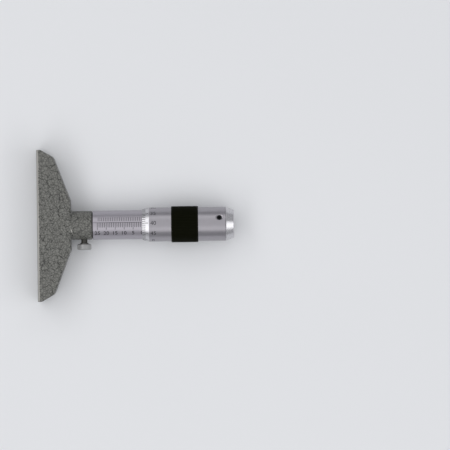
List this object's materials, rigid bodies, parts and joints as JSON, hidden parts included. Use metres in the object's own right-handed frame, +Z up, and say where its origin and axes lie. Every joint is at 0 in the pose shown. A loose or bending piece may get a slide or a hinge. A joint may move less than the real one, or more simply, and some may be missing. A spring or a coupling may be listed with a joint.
{
  "type": "depth micrometer",
  "caption": "Depth micrometer with a wide painted base, graduated sleeve, turning thimble with black grip band, sliding spindle and a knurled lock screw.",
  "frame": {"origin": "centre of the measuring face, on the spindle's axis", "axes": "+X from the measuring face along the spindle to the thimble's end, +Y along the base, +Z up with the instrument lying on a bench, scale upwards"},
  "size_m": [0.1101, 0.085, 0.0202],
  "materials": {
    "wrinkle_paint": "wrinkled grey paint on cast iron, measuring face ground bare",
    "satin_chrome": "satin chrome plate with fine turned lines",
    "ground_steel": "hardened and ground steel",
    "knurled_steel": "nickel-plated steel with straight knurl",
    "dark_steel": "blackened steel",
    "grip_black": "matt black with fine ribs",
    "pad_brass": "plain turned brass"
  },
  "bodies": {
    "frame": {"base": "wrinkle_paint", "guide_bush": "ground_steel", "guide_key": "ground_steel", "inner_sleeve": "ground_steel", "adjusting_nut": "ground_steel", "sleeve": "satin_chrome"},
    "spindle": {"measuring_spindle": "ground_steel", "thrust_ball": "ground_steel", "swivel_pin_1": "ground_steel", "swivel_pin_2": "ground_steel"},
    "thimble_group": {"lead_screw": "ground_steel", "hub": "ground_steel", "thimble": "satin_chrome", "grip_band": "grip_black", "set_screw": "dark_steel", "end_cap": "satin_chrome"},
    "lock_pad": {"lock_pad": "pad_brass"},
    "lock_screw": {"lock_screw": "knurled_steel"}
  },
  "joints": [
    {"name": "spindle_slide", "type": "slide", "parent": "frame", "child": "spindle", "axis": [-1, 0, 0], "range_m": [0, 0.0251]},
    {"name": "thimble_turn", "type": "hinge", "parent": "spindle", "child": "thimble_group", "pos_m": [0.08, 0, 0], "axis": [-1, 0, 0], "range_deg": [0, 18073]},
    {"name": "lock_travel", "type": "slide", "parent": "frame", "child": "lock_pad", "axis": [0, 1, 0], "range_m": [0, 0.00025]},
    {"name": "lock_turn", "type": "hinge", "parent": "lock_pad", "child": "lock_screw", "pos_m": [0.02605, -0.01, 0], "axis": [0, 1, 0], "range_deg": [0, 180.1]}
  ],
  "couplings": [
    {"joint": "thimble_turn", "follows": "spindle_slide", "rad_per_m": 12566},
    {"joint": "lock_turn", "follows": "lock_travel", "rad_per_m": 12566}
  ]
}
